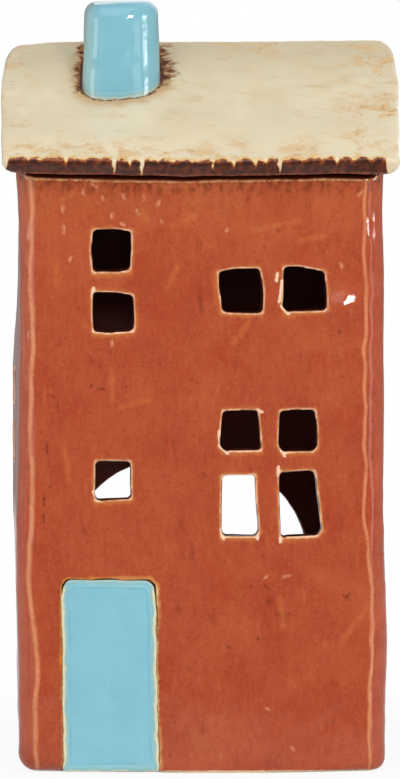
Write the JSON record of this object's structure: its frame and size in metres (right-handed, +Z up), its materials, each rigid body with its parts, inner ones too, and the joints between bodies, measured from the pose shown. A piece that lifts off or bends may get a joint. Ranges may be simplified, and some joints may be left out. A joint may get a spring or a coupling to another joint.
{
  "type": "tealight house",
  "caption": "Glazed ceramic house lantern with cut-out windows, pitched roof and chimney; a tealight slides in through a rear arch and lights the windows.",
  "frame": {"origin": "middle of the footprint, on the surface that the house stands on", "axes": "+Z up, -Y out of the front with the door, +X to the right as seen from the front"},
  "size_m": [0.0792, 0.072, 0.155],
  "materials": {
    "orange_glaze": "glossy orange terracotta glaze, breaking pale at edges",
    "dark_glaze": "glossy near-black glaze",
    "cream_glaze": "glossy cream glaze over iron brown",
    "blue_glaze": "glossy light blue glaze",
    "cup_foil": "bright pressed foil",
    "wax": "waxy white",
    "wick_cotton": "braided cotton",
    "tab_steel": "tinned steel"
  },
  "bodies": {
    "house": {"front_wall": "orange_glaze", "back_wall": "orange_glaze", "left_wall": "orange_glaze", "right_wall": "orange_glaze", "floor_slab": "dark_glaze", "front_roof_slab": "cream_glaze", "rear_roof_slab": "cream_glaze", "chimney": "blue_glaze", "door_panel": "blue_glaze"},
    "tealight": {"tealight_cup": "cup_foil", "tealight_wax": "wax", "tealight_wick": "wick_cotton", "wick_tab": "tab_steel"}
  },
  "joints": [
    {"name": "tealight_slide", "type": "slide", "parent": "house", "child": "tealight", "axis": [0, 1, 0], "range_m": [0, 0.062]}
  ]
}
